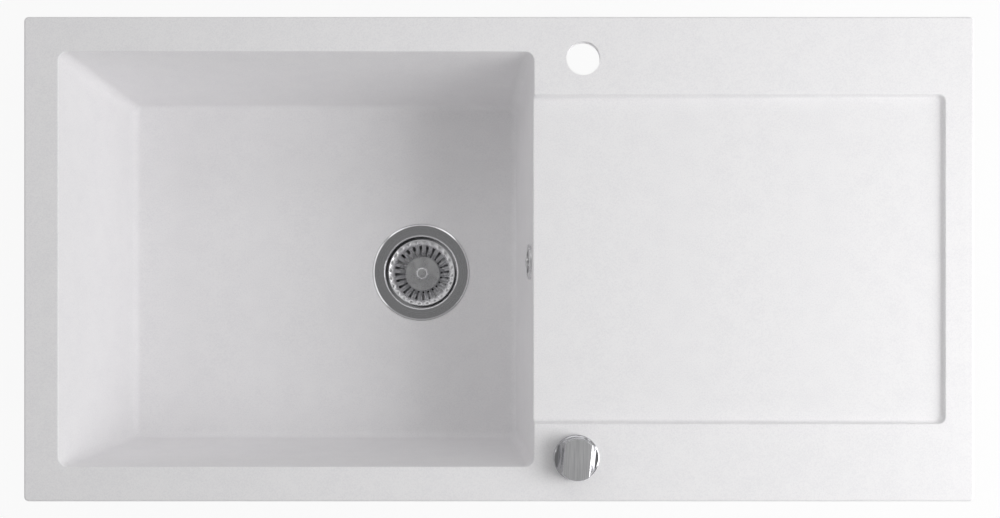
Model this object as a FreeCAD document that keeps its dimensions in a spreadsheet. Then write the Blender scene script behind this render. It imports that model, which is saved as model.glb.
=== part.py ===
import FreeCAD, Part
import math
import os
import re
import Sketcher

# Inset granite sink with one bowl, a drainer, a basket waste, an overflow and a knob that lifts the basket.
# Millimetres, +Z up, +X towards the drainer, +Y towards the tap hole.
# The origin is the middle of the sink's outline, on the worktop, which is the underside of the rim.

doc = FreeCAD.newDocument("granite_sink")
sheet = doc.addObject("Spreadsheet::Sheet", "sizes")

driving_sizes = [
    # moulded basin
    ("sink_length", 980, "rim, along X"),
    ("sink_width", 500, "rim, along Y"),
    ("rim_height", 9, "rim top above the worktop"),
    ("outer_corner_radius", 5, "rim corners, seen from above"),
    ("rim_edge_radius", 2.5, "rounding of the rim's outer top edge"),
    ("rim_overlap", 12, "how far the rim lies on the worktop"),
    ("skirt_width", 8, "rib round the underside of the deck"),
    ("seal_width", 6, "sealing strip under the rim"),
    ("seal_depth", 2, "its groove"),
    ("bowl_margin", 36, "rim beside the bowl, left, front and back"),
    ("bowl_length", 490, "bowl opening along X"),
    ("bowl_depth", 200, "rim top to the edge of the bowl's floor"),
    ("bowl_draft", 15, "how far each wall leans in on its way down"),
    ("bowl_corner_radius", 10, "upright corners of the bowl"),
    ("bowl_floor_radius", 9, "between the walls and the floor"),
    ("lip_radius", 1.5, "rounding of the bowl's and the drainer's top edges"),
    ("bowl_wall", 9, "thickness of walls and floor"),
    ("floor_fall", 4, "fall of the floor towards the drain"),
    ("drain_flat", 136, "level square round the drain"),
    ("drain_to_bowl_end", 130, "drain centre to the bowl's right edge"),
    ("drainer_end_margin", 30, "rim to the right of the drainer"),
    ("drainer_side_margin", 80, "rim in front of and behind the drainer"),
    ("drainer_far_depth", 5, "recess at its right end"),
    ("drainer_near_depth", 9, "recess at the bowl"),
    ("drainer_corner_radius", 7, "recess corners, seen from above"),
    ("drainer_wall_run", 3, "how far the recess's side walls lean"),
    ("drainer_base_radius", 3.2, "between the recess's walls and floor"),
    ("tap_hole_radius", 17.5, "35 mm tap hole"),
    ("tap_from_bowl", 51, "tap hole centre to the bowl's right edge"),
    ("tap_from_back", 43, "tap hole centre to the back edge"),
    ("knob_hole_radius", 17.5, "35 mm hole for the knob"),
    ("knob_from_bowl", 43.5, "knob centre to the bowl's right edge"),
    ("knob_from_front", 45.5, "knob centre to the front edge"),
    ("overflow_depth", 38, "overflow centre below the rim top"),
    ("overflow_hole_radius", 14, "hole through the wall"),
    # clearances
    ("rest_gap", 0.3, "between pieces that part or slide on each other"),
    ("running_gap", 0.05, "shaft in its bore"),
    ("loose_gap", 0.5, "pieces dropped into a recess or through a hole"),
    # waste
    ("flange_radius", 58, "strainer flange"),
    ("flange_thickness", 1.2, "pressed sheet"),
    ("flange_seat_depth", 2, "recess for the flange"),
    ("flange_gasket_thickness", 1.5, "between flange and basin"),
    ("flange_bevel_width", 1.8, "bevelled edge of the flange"),
    ("flange_bevel_drop", 0.55, "bevelled edge of the flange"),
    ("flange_mouth_radius", 2.2, "rolled mouth of the strainer cup"),
    ("drain_hole_radius", 45, "90 mm hole in the floor"),
    ("cup_radius", 43, "inside of the strainer cup"),
    ("cup_depth", 38, "flange top to the cup's floor"),
    ("cup_hole_radius", 18, "hole that the plug closes"),
    ("body_gasket_thickness", 3, "between basin and waste body"),
    ("body_flange_radius", 57, "waste body's top flange"),
    ("body_flange_thickness", 4, "waste body's top flange"),
    ("body_wall", 3, "waste body"),
    ("chamber_height", 42, "space under the strainer cup"),
    ("outlet_radius", 23.9, "G 1 1/2 thread, outside"),
    ("outlet_bore", 20, "water way, radius"),
    ("outlet_length", 30, "thread beyond its collar"),
    ("outlet_collar_radius", 25.5, "shoulder behind the thread"),
    ("outlet_collar_length", 5, "shoulder beyond the waste body"),
    ("branch_radius", 12, "overflow inlet and overflow head spigot, outside"),
    ("branch_bore", 10, "overflow water way, radius"),
    ("branch_length", 24, "beyond the waste body"),
    ("post_radius", 4.5, "screw posts in the waste body"),
    ("post_circle", 31, "radius that the posts stand on"),
    ("screw_radius", 2.5, "M5 screw"),
    ("screw_head_radius", 4.5, "M5 screw"),
    ("screw_head_height", 2.8, "M5 screw"),
    ("screw_length", 18, "M5 screw under its head"),
    # basket
    ("basket_radius", 40.3, "rolled rim"),
    ("basket_drop", 6, "rim below the flange's top"),
    ("basket_depth", 21, "rim to the underside of the floor"),
    ("basket_sheet", 1, "pressed sheet"),
    ("basket_shoulder_radius", 34, "where the slotted wall starts"),
    ("basket_floor_radius", 21.5, "where the slotted wall ends"),
    ("basket_lip", 3, "height of the rolled rim"),
    ("slot_width", 2.4, "slots in the basket wall"),
    ("slot_count", 24, "slots in the basket wall"),
    ("button_radius", 7.8, "basket's centre knob"),
    ("button_height", 11, "basket's centre knob"),
    ("button_edge_radius", 3, "rounding of its top"),
    ("stem_radius", 3, "stem under the centre knob"),
    ("neck_radius", 4.5, "waist of the centre knob"),
    ("neck_height", 4, "waist of the centre knob"),
    ("plug_radius", 20.5, "disc that carries the seal"),
    ("plug_thickness", 3, "disc that carries the seal"),
    ("plug_hub_radius", 8, "hub between the basket and the disc"),
    ("seal_ring_radius", 23, "rubber seal under the plug"),
    ("seal_ring_thickness", 3, "rubber seal under the plug"),
    ("foot_length", 6, "plug foot below the seal"),
    # lift
    ("lift_travel", 12, "how far the basket rises"),
    ("pin_radius", 4, "lift pin"),
    ("pin_head_radius", 7, "lift pin's head"),
    ("pin_head_height", 3, "lift pin's head"),
    ("guide_radius", 9, "boss that guides the lift pin"),
    ("guide_height", 14, "boss above the chamber floor"),
    ("socket_length", 22, "boss below the chamber"),
    ("pin_seal_radius", 6.5, "ring round the lift pin, outside"),
    ("pin_seal_height", 3, "ring round the lift pin"),
    ("gland_radius", 7, "cable gland"),
    ("gland_length", 12, "cable gland"),
    ("gland_nose_radius", 4, "cable gland's open end"),
    ("cable_hole_radius", 2.6, "where a 5 mm control cable goes in"),
    # overflow
    ("rosette_radius", 18.5, "overflow rosette"),
    ("rosette_height", 2.6, "overflow rosette"),
    ("rosette_hole_radius", 3.4, "its water holes"),
    ("rosette_hole_circle", 9.5, "radius that the holes stand on"),
    ("rosette_hole_count", 6, "its water holes"),
    ("rosette_edge_radius", 1.2, "rounding of its edge"),
    ("head_flange_radius", 20, "overflow head against the wall"),
    ("head_flange_thickness", 3, "overflow head against the wall"),
    ("head_radius", 17, "overflow head's chamber"),
    ("head_length", 30, "overflow head behind its gasket"),
    ("head_wall", 2, "overflow head"),
    ("head_gasket_thickness", 2.5, "between wall and overflow head"),
    ("spigot_length", 20, "below the overflow head's chamber"),
    ("rosette_screw_radius", 2, "M4 screw"),
    ("rosette_screw_head_radius", 5.8, "M4 screw with a broad head"),
    ("rosette_screw_head_height", 2.2, "M4 screw with a broad head"),
    ("rosette_screw_length", 26, "M4 screw"),
    ("rosette_boss_radius", 4.5, "overflow head's screw boss"),
    ("pipe_wall", 2.2, "overflow pipe"),
    ("pipe_bend_radius", 40, "overflow pipe's elbow, middle line"),
    ("band_width", 7, "pipe's retaining band"),
    ("band_thickness", 1, "pipe's retaining band"),
    ("band_inset", 5, "band from the pipe's end"),
    # knob
    ("ring_radius", 23.6, "cover ring under the knob"),
    ("ring_height", 4, "cover ring under the knob"),
    ("ring_edge_radius", 1, "rounding of the cover ring"),
    ("ring_seal_thickness", 1, "between deck and housing"),
    ("housing_flange_radius", 21, "knob housing on the deck"),
    ("housing_flange_thickness", 2, "knob housing on the deck"),
    ("housing_radius", 16.5, "threaded tube through the deck"),
    ("washer_thickness", 2, "under the deck"),
    ("washer_radius", 21.5, "under the deck"),
    ("nut_height", 9, "back nut"),
    ("nut_radius", 22.5, "back nut, half across its corners"),
    ("housing_tail", 4, "thread beyond the back nut"),
    ("spindle_radius", 6, "knob spindle"),
    ("spindle_seal_radius", 8.6, "ring round the spindle, outside"),
    ("spindle_seal_height", 2.6, "ring round the spindle"),
    ("spindle_grip_length", 12, "spindle inside the grip"),
    ("grip_radius", 23.2, "grip at its base"),
    ("grip_top_radius", 21.6, "grip at its top"),
    ("grip_height", 22.5, "grip, base to top"),
    ("grip_ledge_height", 5, "disc beside the grip bar"),
    ("grip_bevel_width", 1.2, "bevelled edge of the disc"),
    ("grip_bevel_drop", 0.5, "bevelled edge of the disc"),
    ("grip_bar_width", 28, "grip bar at its top"),
    ("grip_bar_flare", 5, "grip bar's extra half width at the ledge"),
    ("grip_waist_flare", 2, "grip bar's extra half width where its flanks bend"),
    ("grip_waist_height", 7, "bend in the grip bar's flanks, above the ledge"),
    ("grip_edge_radius", 1.4, "rounding of the grip's top"),
    ("grip_turn", 6, "bar turned clockwise from the Y direction at rest"),
    ("grub_radius", 2, "M4 grub screw"),
    ("grub_length", 9, "M4 grub screw"),
    ("grub_height", 2.6, "grub screw above the grip's base"),
    ("box_wall", 5, "drive box"),
    ("box_roof", 3, "drive box, under the housing"),
    ("box_clearance", 1, "round the crank and the slider"),
    ("crank_radius", 12, "disc under the spindle"),
    ("crank_thickness", 3, "disc under the spindle"),
    ("crank_pin_radius", 2, "pin that drives the slider"),
    ("knob_swing", 90, "degrees from closed to open"),
    ("slider_thickness", 4.5, "cable slider"),
    ("slider_half_width", 5.5, "slider plate, along its travel"),
    ("slider_slot_gap", 0.55, "slot beside the crank pin"),
    ("slider_end", 3, "slider plate beyond its slot"),
    ("slider_rod_radius", 2, "rod that holds the cable's core"),
    ("rod_reach", 6, "rod in its sleeve at rest"),
    ("sleeve_radius", 5, "sleeve for the rod"),
    ("cover_thickness", 2.5, "drive box cover"),
    ("box_screw_radius", 1.2, "drive box screws"),
    ("box_screw_head_radius", 2, "drive box screws"),
    ("box_screw_head_height", 1.5, "drive box screws"),
    ("box_screw_length", 8, "drive box screws"),
]

for row, (alias, value, note) in enumerate(driving_sizes, start=1):
    sheet.set(f"A{row}", note)
    sheet.set(f"B{row}", str(value))
    sheet.setAlias(f"B{row}", alias)
doc.recompute()
aliases = {alias for alias, value, note in driving_sizes}


def bound(text):
    """A formula in the sheet's words, as an expression that reads the sheet."""
    def from_sheet(word):
        return f"sizes.{word[0]}" if word[0] in aliases else word[0]

    return re.sub(r"[a-z_]+", from_sheet, text)


def number(text):
    """The value that a formula has now, in millimetres or degrees."""
    found = sheet.evalExpression(bound(text))
    return float(found.Value if hasattr(found, "Value") else found)


def minus(text):
    return f"-({text})"


def tie(item, prop, text):
    item.setExpression(prop, bound(text))


def new_body(label, place, turn_axis=None, turn=None):
    """An empty body whose own origin stands at the place, turned about one axis."""
    body = doc.addObject("PartDesign::Body", label)
    body.Label = label
    put(body, place, turn_axis, turn)
    return body


def put(item, place, turn_axis=None, turn=None):
    if turn_axis:
        rotation = FreeCAD.Rotation(FreeCAD.Vector(*turn_axis), number(turn))
        item.Placement = FreeCAD.Placement(FreeCAD.Vector(), rotation)
        tie(item, "Placement.Rotation.Angle", turn)
    for axis, text in zip("xyz", place):
        tie(item, f"Placement.Base.{axis}", text)


def sketch_on(body, name, plane, offset="0"):
    """A sketch on one of the body's own planes, moved along that plane's normal."""
    sketch = body.newObject("Sketcher::SketchObject", name)
    support = next(item for item in body.Origin.OriginFeatures if item.Role == plane)
    sketch.AttachmentSupport = (support, "")
    sketch.MapMode = "FlatFace"
    tie(sketch, "AttachmentOffset.Base.z", offset)
    return sketch


def dimension(sketch, kind, geometry, point, text):
    """Ties one coordinate of a point, or one radius, to a formula."""
    if kind == "Radius":
        index = sketch.addConstraint(Sketcher.Constraint(kind, geometry, number(text)))
    else:
        index = sketch.addConstraint(Sketcher.Constraint(kind, -1, 1, geometry, point, number(text)))
    tie(sketch, f"Constraints[{index}]", text)


def outline(sketch, points):
    """A closed outline of straight sides through points given as pairs of formulas."""
    corners = [FreeCAD.Vector(number(x), number(y), 0) for x, y in points]
    first = sketch.GeometryCount
    sides = [Part.LineSegment(a, b) for a, b in zip(corners, corners[1:] + corners[:1])]
    sketch.addGeometry(sides, False)
    for index, (x, y) in enumerate(points):
        side = first + index
        following = first + (index + 1) % len(points)
        sketch.addConstraint(Sketcher.Constraint("Coincident", side, 2, following, 1))
        dimension(sketch, "DistanceX", side, 1, x)
        dimension(sketch, "DistanceY", side, 1, y)


def box_outline(sketch, left, right, front, back):
    outline(sketch, [(left, front), (right, front), (right, back), (left, back)])


def circle(sketch, x, y, radius):
    centre = FreeCAD.Vector(number(x), number(y), 0)
    index = sketch.addGeometry(Part.Circle(centre, FreeCAD.Vector(0, 0, 1), number(radius)), False)
    dimension(sketch, "DistanceX", index, 3, x)
    dimension(sketch, "DistanceY", index, 3, y)
    dimension(sketch, "Radius", index, 0, radius)


def rounded_box(sketch, left, right, front, back, radius):
    """A closed rectangle with round corners, from the formulas of its four sides."""
    x0, x1, y0, y1, r = (number(text) for text in (left, right, front, back, radius))
    flat = FreeCAD.Vector
    middles = [flat(x1 - r, y0 + r), flat(x1 - r, y1 - r), flat(x0 + r, y1 - r), flat(x0 + r, y0 + r)]
    places = [
        (f"{right} - {radius}", f"{front} + {radius}"),
        (f"{right} - {radius}", f"{back} - {radius}"),
        (f"{left} + {radius}", f"{back} - {radius}"),
        (f"{left} + {radius}", f"{front} + {radius}"),
    ]
    upright = flat(0, 0, 1)
    arcs = []
    for turn, middle in enumerate(middles):
        start = math.radians(90 * (turn - 1))
        arcs.append(Part.ArcOfCircle(Part.Circle(middle, upright, r), start, start + math.pi / 2))
    pairs = zip(arcs, arcs[1:] + arcs[:1])
    sides = [Part.LineSegment(arc.EndPoint, following.StartPoint) for arc, following in pairs]
    first = sketch.GeometryCount
    sketch.addGeometry([piece for pair in zip(arcs, sides) for piece in pair], False)
    for corner, (x, y) in enumerate(places):
        arc = first + 2 * corner
        following = first + 2 * ((corner + 1) % 4)
        sketch.addConstraint(Sketcher.Constraint("Tangent", arc, 2, arc + 1, 1))
        sketch.addConstraint(Sketcher.Constraint("Tangent", arc + 1, 2, following, 1))
        dimension(sketch, "DistanceX", arc, 3, x)
        dimension(sketch, "DistanceY", arc, 3, y)
    dimension(sketch, "Radius", first, 0, radius)


def extrude(body, sketch, length, kind="Pad", reverse=False, both_ways=False):
    """A pad along the sketch's normal, or a pocket against it, other way round where reversed."""
    feature = body.newObject(f"PartDesign::{kind}", f"{sketch.Name}_{kind.lower()}")
    feature.Profile = sketch
    tie(feature, "Length", length)
    feature.Reversed = reverse
    if both_ways:
        feature.Midplane = True
    doc.recompute()
    return feature


def turn(body, sketch, kind="Revolution"):
    """A full turn of the sketch about its own upright axis."""
    feature = body.newObject(f"PartDesign::{kind}", f"{sketch.Name}_{kind.lower()}")
    feature.Profile = sketch
    feature.ReferenceAxis = (sketch, ["V_Axis"])
    feature.Angle = 360
    doc.recompute()
    return feature


def turned(label, points, place, turn_axis=None, turn_angle=None):
    """A round piece from its half section, in pairs of radius and height."""
    body = new_body(label, place, turn_axis, turn_angle)
    section = sketch_on(body, f"{label}_section", "XZ_Plane")
    outline(section, points)
    turn(body, section)
    return body


def ring(inner, outer, low, high):
    """The half section of a plain ring."""
    return [(inner, low), (outer, low), (outer, high), (inner, high)]


def loft(body, name, sections, kind):
    """A straight-sided skin through level rounded boxes, each given as height, sides and corner radius."""
    sketches = []
    for index, (level, sides, radius) in enumerate(sections):
        sketch = sketch_on(body, f"{name}_{index}", "XY_Plane", level)
        rounded_box(sketch, *sides, radius)
        sketches.append(sketch)
    feature = body.newObject(f"PartDesign::{kind}", name)
    feature.Profile = sketches[0]
    feature.Sections = sketches[1:]
    feature.Ruled = True
    doc.recompute()
    return feature


def repeat_round(body, feature, count):
    """Copies of a feature round the body's own upright axis."""
    pattern = body.newObject("PartDesign::PolarPattern", f"{feature.Name}_round")
    pattern.Originals = [feature]
    upright = next(item for item in body.Origin.OriginFeatures if item.Role == "Z_Axis")
    pattern.Axis = (upright, [""])
    pattern.Angle = 360
    tie(pattern, "Occurrences", count)
    body.Tip = pattern
    doc.recompute()


def round_edges(body, radius, wanted):
    """Rounds the edges of the body's last feature that the test picks."""
    base = body.Tip
    names = [f"Edge{n}" for n, edge in enumerate(base.Shape.Edges, start=1) if wanted(edge.BoundBox)]
    feature = body.newObject("PartDesign::Fillet", f"{base.Name}_round")
    feature.Base = (base, names)
    tie(feature, "Radius", radius)
    doc.recompute()
    return feature


def near(value, text, slack=0.02):
    return abs(value - number(text)) < slack


def level_at(box, height):
    """Does an edge with this box lie flat at the height?"""
    return near(box.ZMin, height) and near(box.ZMax, height)


def outer_circle(box, radius):
    return near(box.XLength, f"2*({radius})", 0.05) and near(box.YLength, f"2*({radius})", 0.05)


def group(label, members):
    """Separate solids that share one node."""
    item = doc.addObject("Part::Compound", label)
    item.Label = label
    item.Links = members
    return item


# levels and places that several pieces share
bowl_start = "(bowl_margin - sink_length/2)"
bowl_end = "(bowl_margin + bowl_length - sink_length/2)"
bowl_half = "(sink_width/2 - bowl_margin)"
floor_level = "(rim_height - bowl_depth)"
drain_level = "(rim_height - bowl_depth - floor_fall)"
drain_x = f"({bowl_end} - drain_to_bowl_end)"
deck_drop = "(drainer_near_depth + bowl_wall - rim_height)"
drainer_end = "(sink_length/2 - drainer_end_margin)"
drainer_half = "(sink_width/2 - drainer_side_margin)"
knob_x = f"({bowl_end} + knob_from_bowl)"
knob_y = "(knob_from_front - sink_width/2)"
tap_x = f"({bowl_end} + tap_from_bowl)"
tap_y = "(sink_width/2 - tap_from_back)"
wall_lean = "atan(bowl_draft/bowl_depth)"
overflow_x = f"({bowl_end} - bowl_draft*overflow_depth/bowl_depth)"
overflow_z = "(rim_height - overflow_depth)"
drain_place = (drain_x, "0", drain_level)
knob_place = (knob_x, knob_y, "rim_height")
overflow_place = (overflow_x, "0", overflow_z)
overflow_turn = f"90 deg + {wall_lean}"
y_axis = (0, 1, 0)


def bowl_sides(level, extra):
    """The bowl's four sides at a level, moved out by an extra."""
    lean = f"bowl_draft*(rim_height - ({level}))/bowl_depth"
    grow = f"({extra} - {lean})"
    return (
        f"({bowl_start} - {grow})",
        f"({bowl_end} + {grow})",
        f"(-{bowl_half} - {grow})",
        f"({bowl_half} + {grow})",
    )


def drain_sides(extra):
    """The sides of the level square round the drain, moved out by an extra."""
    half = f"(drain_flat/2 + {extra})"
    return f"({drain_x} - {half})", f"({drain_x} + {half})", f"(-{half})", half


def sink_basin():
    body = new_body("sink_basin", ("0", "0", "0"))
    half_x, half_y = "sink_length/2", "sink_width/2"

    rim = sketch_on(body, "rim", "XY_Plane")
    rounded_box(rim, f"(-{half_x})", half_x, f"(-{half_y})", half_y, "outer_corner_radius")
    extrude(body, rim, "rim_height")
    round_edges(body, "rim_edge_radius", lambda box: level_at(box, "rim_height"))

    deck = sketch_on(body, "deck", "XY_Plane")
    deck_x, deck_y = f"({half_x} - rim_overlap)", f"({half_y} - rim_overlap)"
    rounded_box(deck, f"(-{deck_x})", deck_x, f"(-{deck_y})", deck_y, "outer_corner_radius")
    extrude(body, deck, deck_drop, reverse=True)

    shell_floor = f"({floor_level} - bowl_wall)"
    shell_radius = "(bowl_corner_radius + bowl_wall)"
    drain_corner = "(drain_flat/2 - bowl_wall/2)"
    loft(body, "bowl_shell", [
        ("0", bowl_sides("0", "bowl_wall"), shell_radius),
        (shell_floor, bowl_sides(shell_floor, "bowl_wall"), shell_radius),
        (f"({drain_level} - bowl_wall)", drain_sides("bowl_wall"), f"({drain_corner} + bowl_wall)"),
    ], "AdditiveLoft")
    round_edges(body, "bowl_floor_radius + bowl_wall/2", lambda box: level_at(box, shell_floor))

    hollow = sketch_on(body, "deck_hollow", "XY_Plane", minus(deck_drop))
    hollow_start = f"({bowl_end} + 2*bowl_wall)"
    hollow_end = f"({deck_x} - skirt_width)"
    hollow_near = f"({drainer_half} + bowl_wall)"
    hollow_far = f"({deck_y} - skirt_width)"
    rounded_box(hollow, hollow_start, hollow_end, hollow_near, hollow_far, "bowl_wall")
    rounded_box(hollow, hollow_start, hollow_end, f"(-{hollow_far})", f"(-{hollow_near})", "bowl_wall")
    extrude(body, hollow, deck_drop, "Pocket", reverse=True)

    drainer_recess(body)

    loft(body, "bowl_hollow", [
        ("rim_height", bowl_sides("rim_height", "0"), "bowl_corner_radius"),
        (floor_level, bowl_sides(floor_level, "0"), "bowl_corner_radius"),
        (drain_level, drain_sides("0"), drain_corner),
    ], "SubtractiveLoft")
    round_edges(body, "bowl_floor_radius", lambda box: level_at(box, floor_level))
    round_drainer_base(body)
    round_lips(body)

    seat = sketch_on(body, "drain_seat", "XY_Plane", drain_level)
    circle(seat, drain_x, "0", "(flange_radius + loose_gap)")
    extrude(body, seat, "flange_seat_depth", "Pocket")
    drain = sketch_on(body, "drain_hole", "XY_Plane", drain_level)
    circle(drain, drain_x, "0", "drain_hole_radius")
    extrude(body, drain, "2*bowl_wall", "Pocket")
    taps = sketch_on(body, "deck_holes", "XY_Plane", "rim_height")
    circle(taps, tap_x, tap_y, "tap_hole_radius")
    circle(taps, knob_x, knob_y, "knob_hole_radius")
    extrude(body, taps, f"2*rim_height + {deck_drop}", "Pocket")
    overflow = sketch_on(body, "overflow_hole", "YZ_Plane", f"{bowl_end} + 2*bowl_wall")
    circle(overflow, "0", overflow_z, "overflow_hole_radius")
    extrude(body, overflow, "4*bowl_wall", "Pocket")

    groove = sketch_on(body, "seal_groove", "XY_Plane")
    seal_outline(groove)
    extrude(body, groove, "seal_depth", "Pocket", reverse=True)
    return body


def drainer_recess(body):
    """The sunk drainer: leaning walls all round, and a floor that falls towards the bowl."""
    start = f"({bowl_end} - 2*bowl_wall)"
    share = f"(({drainer_end} - {start})/({drainer_end} - {bowl_end}))"
    low = f"(rim_height - drainer_far_depth - (drainer_near_depth - drainer_far_depth)*{share})"
    low_half = f"({drainer_half} - drainer_wall_run)"
    top_sides = (start, drainer_end, f"(-{drainer_half})", drainer_half)
    low_sides = (start, f"({drainer_end} - drainer_wall_run)", f"(-{low_half})", low_half)
    loft(body, "drainer_recess", [
        ("rim_height", top_sides, "drainer_corner_radius"),
        (low, low_sides, "drainer_corner_radius"),
    ], "SubtractiveLoft")
    floor = sketch_on(body, "drainer_floor", "XZ_Plane")
    outline(floor, [(start, low), (drainer_end, low), (drainer_end, "rim_height - drainer_far_depth")])
    extrude(body, floor, f"2*{drainer_half}", both_ways=True)


def round_drainer_base(body):
    """Rounds the edges between the drainer's walls and its floor."""
    high = number("rim_height - drainer_far_depth") + 0.5
    low = number("rim_height - drainer_near_depth") - 0.5
    beyond_bowl = number(bowl_end) + 1
    side = number(drainer_half)

    def is_base(box):
        on_floor = box.ZMin > low and box.ZMax < high
        return on_floor and box.XMax > beyond_bowl and -side < box.YMin and box.YMax < side

    round_edges(body, "drainer_base_radius", is_base)


def round_lips(body):
    """Rounds the top edges of the bowl and of the drainer, and the edge where the drainer meets the bowl."""
    edge_x = number("sink_length/2 - rim_edge_radius") - 1
    edge_y = number("sink_width/2 - rim_edge_radius") - 1
    junction = number(bowl_end)
    lean = number("bowl_draft*drainer_near_depth/bowl_depth") + 0.5

    def is_lip(box):
        inside = box.XMax < edge_x and box.XMin > -edge_x and box.YMax < edge_y and box.YMin > -edge_y
        at_top = level_at(box, "rim_height")
        at_bowl = box.XMin > junction - lean and box.XMax < junction + 0.02
        high = box.ZMin > number("rim_height - drainer_near_depth") - 0.5
        return inside and high and (at_top or at_bowl)

    round_edges(body, "lip_radius", is_lip)


def seal_outline(sketch):
    """Both sides of the strip that runs round under the rim."""
    inset = "((rim_overlap - seal_width)/2)"
    for side in (inset, f"({inset} + seal_width)"):
        half_x = f"(sink_length/2 - {side})"
        half_y = f"(sink_width/2 - {side})"
        rounded_box(sketch, f"(-{half_x})", half_x, f"(-{half_y})", half_y, "outer_corner_radius")


def rim_seal():
    body = new_body("rim_seal", ("0", "0", "0"))
    strip = sketch_on(body, "seal_strip", "XY_Plane")
    seal_outline(strip)
    extrude(body, strip, "seal_depth")
    return body


# waste, with heights from the floor round the drain
flange_top = "(flange_gasket_thickness + flange_thickness - flange_seat_depth)"
flange_under = "(flange_gasket_thickness - flange_seat_depth)"
cup_outside = "(cup_radius + flange_thickness)"
cup_floor = f"({flange_top} - cup_depth)"
cup_under = f"({cup_floor} - flange_thickness)"
body_top = "(-bowl_wall - body_gasket_thickness)"
body_inside = f"({cup_outside} + loose_gap)"
body_outside = f"({body_inside} + body_wall)"
chamber_floor = f"({cup_under} - chamber_height)"
body_under = f"({chamber_floor} - body_wall)"
socket_end = f"({body_under} - socket_length)"
guide_top = f"({chamber_floor} + guide_height)"
outlet_z = f"({body_under} + outlet_collar_radius + rest_gap)"
branch_z = f"({chamber_floor} + chamber_height/2)"
pin_bore = "(pin_radius + running_gap)"
pin_seal_low = f"({guide_top} - pin_seal_height)"


def strainer_flange():
    body = turned("strainer_flange", [
        ("cup_hole_radius", cup_under),
        (cup_outside, cup_under),
        (cup_outside, flange_under),
        ("flange_radius", flange_under),
        ("flange_radius", f"({flange_top} - flange_bevel_drop)"),
        ("(flange_radius - flange_bevel_width)", flange_top),
        ("cup_radius", flange_top),
        ("cup_radius", cup_floor),
        ("cup_hole_radius", cup_floor),
    ], drain_place)
    round_edges(body, "flange_mouth_radius", lambda box: (
        level_at(box, flange_top) and outer_circle(box, "cup_radius")))
    holes = sketch_on(body, "flange_screw_hole", "XY_Plane", cup_floor)
    circle(holes, "0", "-post_circle", "(screw_radius + running_gap)")
    repeat_round(body, extrude(body, holes, "2*flange_thickness", "Pocket"), "3")
    return body


def flange_gasket():
    section = ring("drain_hole_radius", "flange_radius", "-flange_seat_depth", flange_under)
    return turned("flange_gasket", section, drain_place)


def body_gasket():
    section = ring("drain_hole_radius", "body_flange_radius", body_top, "-bowl_wall")
    return turned("body_gasket", section, drain_place)


def waste_body():
    body = turned("waste_body", [
        ("0", socket_end),
        ("guide_radius", socket_end),
        ("guide_radius", body_under),
        (body_outside, body_under),
        (body_outside, f"({body_top} - body_flange_thickness)"),
        ("body_flange_radius", f"({body_top} - body_flange_thickness)"),
        ("body_flange_radius", body_top),
        ("0", body_top),
    ], drain_place)
    collar_end = f"({body_outside} + outlet_collar_length)"
    branch_end = f"({body_outside} + branch_length)"
    collar = sketch_on(body, "outlet_collar", "XZ_Plane")
    circle(collar, "0", outlet_z, "outlet_collar_radius")
    extrude(body, collar, collar_end, reverse=True)
    outlet = sketch_on(body, "outlet", "XZ_Plane", minus(collar_end))
    circle(outlet, "0", outlet_z, "outlet_radius")
    extrude(body, outlet, "outlet_length", reverse=True)
    branch = sketch_on(body, "overflow_inlet", "YZ_Plane")
    circle(branch, "0", branch_z, "branch_radius")
    extrude(body, branch, branch_end)
    chamber = sketch_on(body, "chamber", "XY_Plane", body_top)
    circle(chamber, "0", "0", body_inside)
    extrude(body, chamber, f"{body_top} - {chamber_floor}", "Pocket")
    outlet_way = sketch_on(body, "outlet_way", "XZ_Plane")
    circle(outlet_way, "0", outlet_z, "outlet_bore")
    extrude(body, outlet_way, f"({collar_end} + outlet_length)", "Pocket")
    branch_way = sketch_on(body, "overflow_way", "YZ_Plane")
    circle(branch_way, "0", branch_z, "branch_bore")
    extrude(body, branch_way, branch_end, "Pocket", reverse=True)
    guide = sketch_on(body, "guide", "XY_Plane", chamber_floor)
    circle(guide, "0", "0", "guide_radius")
    extrude(body, guide, "guide_height")
    post = sketch_on(body, "post", "XY_Plane", chamber_floor)
    circle(post, "0", "-post_circle", "post_radius")
    repeat_round(body, extrude(body, post, "chamber_height"), "3")
    screw_hole = sketch_on(body, "post_screw_hole", "XY_Plane", cup_under)
    circle(screw_hole, "0", "-post_circle", "screw_radius")
    repeat_round(body, extrude(body, screw_hole, "screw_length", "Pocket"), "3")
    seal_seat = sketch_on(body, "pin_seal_seat", "XY_Plane", guide_top)
    circle(seal_seat, "0", "0", "pin_seal_radius")
    extrude(body, seal_seat, "pin_seal_height", "Pocket")
    pin_way = sketch_on(body, "pin_way", "XY_Plane", guide_top)
    circle(pin_way, "0", "0", pin_bore)
    extrude(body, pin_way, f"{guide_top} - {socket_end}", "Pocket")
    return body


def screw(label, place, radius, head_radius, head_height, length, turn_axis=None, turn_angle=None):
    """A screw with its head's seat at the place, pointing down its own axis."""
    return turned(label, [
        ("0", minus(length)),
        (radius, minus(length)),
        (radius, "0"),
        (head_radius, "0"),
        (head_radius, head_height),
        ("0", head_height),
    ], place, turn_axis, turn_angle)


def flange_screws():
    screws = []
    for number_of, angle in enumerate((-90, 30, 150), start=1):
        x = f"({drain_x} + post_circle*cos({angle}))"
        y = f"(post_circle*sin({angle}))"
        place = (x, y, f"({drain_level} + {cup_floor})")
        screws.append(screw(f"flange_screw_{number_of}", place, "screw_radius", "screw_head_radius",
                            "screw_head_height", "screw_length"))
    return group("flange_screws", screws)


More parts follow.
